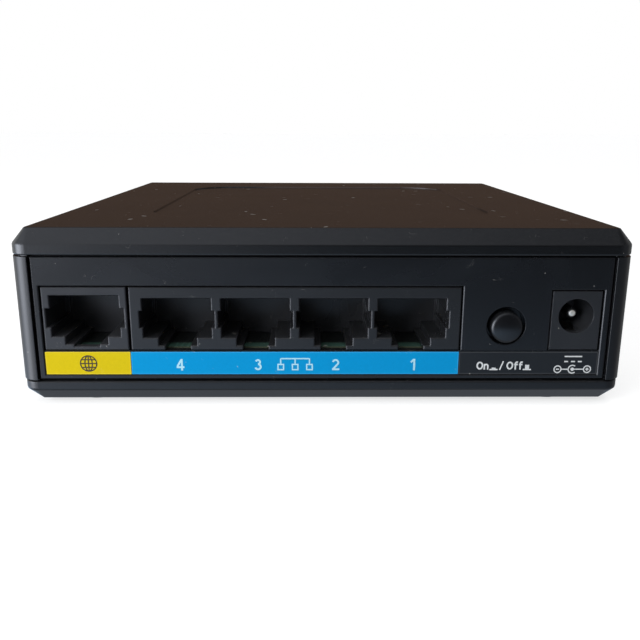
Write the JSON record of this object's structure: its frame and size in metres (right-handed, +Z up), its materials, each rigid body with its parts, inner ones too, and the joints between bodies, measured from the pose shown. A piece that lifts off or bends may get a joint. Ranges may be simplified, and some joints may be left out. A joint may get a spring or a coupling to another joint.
{
  "type": "wireless router",
  "caption": "Compact square wireless router: black plastic case with network sockets, a push button and a power inlet in its rear panel, and the circuit board inside.",
  "frame": {"origin": "middle of the footprint, at the level the feet stand on", "axes": "+Z up; the socket panel faces -Y and the lamps face +Y; +X is to the right seen from the sockets"},
  "size_m": [0.1092, 0.1128, 0.0325],
  "materials": {
    "case_plastic": "fine-grained black moulding",
    "panel_plastic": "satin black moulding",
    "yellow_print": "printed film, yellow",
    "blue_print": "printed film, blue",
    "black_print": "printed film, black",
    "jack_plastic": "black moulding with a slight sheen",
    "carrier_plastic": "black moulding",
    "contact_metal": "gilded spring wire",
    "pin_metal": "bright plated metal",
    "leaf_metal": "tinned spring strip",
    "button_plastic": "fine satin black moulding",
    "switch_plastic": "plain black moulding",
    "plunger_plastic": "white moulding",
    "board_laminate": "green coated glass laminate",
    "lamp_resin": "pale resin lamp",
    "clear_plastic": "frosted clear moulding",
    "stem_plastic": "black moulding",
    "chip_resin": "moulded chip resin with metal leads",
    "transformer_resin": "moulded resin with metal leads",
    "crystal_metal": "drawn metal can",
    "shield_metal": "tinned sheet",
    "inductor_ferrite": "dark ferrite",
    "can_metal": "aluminium can",
    "antenna_metal": "stamped metal strip",
    "foot_rubber": "soft black rubber",
    "screw_steel": "zinc-plated steel",
    "white_ink": "thin printed ink, white"
  },
  "bodies": {
    "case": {"top_cover": "case_plastic", "side_frame": "case_plastic", "bottom_tray": "case_plastic", "rear_panel": "panel_plastic", "wan_label": "yellow_print", "lan_label": "blue_print", "power_label": "black_print", "main_board": "board_laminate", "wan_jack": "jack_plastic", "wan_contacts": "contact_metal", "wan_carrier": "carrier_plastic", "lan_jack": "jack_plastic", "lan_contacts": "contact_metal", "lan_carriers": "carrier_plastic", "dc_jack": "jack_plastic", "dc_pin": "pin_metal", "dc_leaf": "leaf_metal", "power_switch": "switch_plastic", "power_switch_pins": "leaf_metal", "lamps": "lamp_resin", "light_pipe": "clear_plastic", "setup_switch": "switch_plastic", "reset_switch": "switch_plastic", "processor": "chip_resin", "memory": "chip_resin", "flash_memory": "chip_resin", "regulator": "chip_resin", "transformers": "transformer_resin", "crystal": "crystal_metal", "radio_shield": "shield_metal", "inductor": "inductor_ferrite", "capacitors": "can_metal", "antenna_left": "antenna_metal", "antenna_right": "antenna_metal", "foot_rear_left": "foot_rubber", "case_screw_rear_left": "screw_steel", "foot_rear_right": "foot_rubber", "case_screw_rear_right": "screw_steel", "foot_front_left": "foot_rubber", "case_screw_front_left": "screw_steel", "foot_front_right": "foot_rubber", "case_screw_front_right": "screw_steel"},
    "power_button_body": {"power_button": "button_plastic", "power_plunger": "plunger_plastic"},
    "setup_button_body": {"setup_button": "button_plastic", "setup_stem": "stem_plastic"},
    "reset_button_body": {"reset_stem": "stem_plastic"}
  },
  "joints": [
    {"name": "power_press", "type": "slide", "parent": "case", "child": "power_button_body", "axis": [0, 1, 0], "range_m": [0, 0.002], "stiffness_N_per_m": 400, "springref_m": -0.002},
    {"name": "setup_press", "type": "slide", "parent": "case", "child": "setup_button_body", "axis": [0, -1, 0], "range_m": [0, 0.0004], "stiffness_N_per_m": 2000, "springref_m": -0.0005},
    {"name": "reset_press", "type": "slide", "parent": "case", "child": "reset_button_body", "axis": [0, 0, 1], "range_m": [0, 0.00025], "stiffness_N_per_m": 2000, "springref_m": -0.0005}
  ]
}
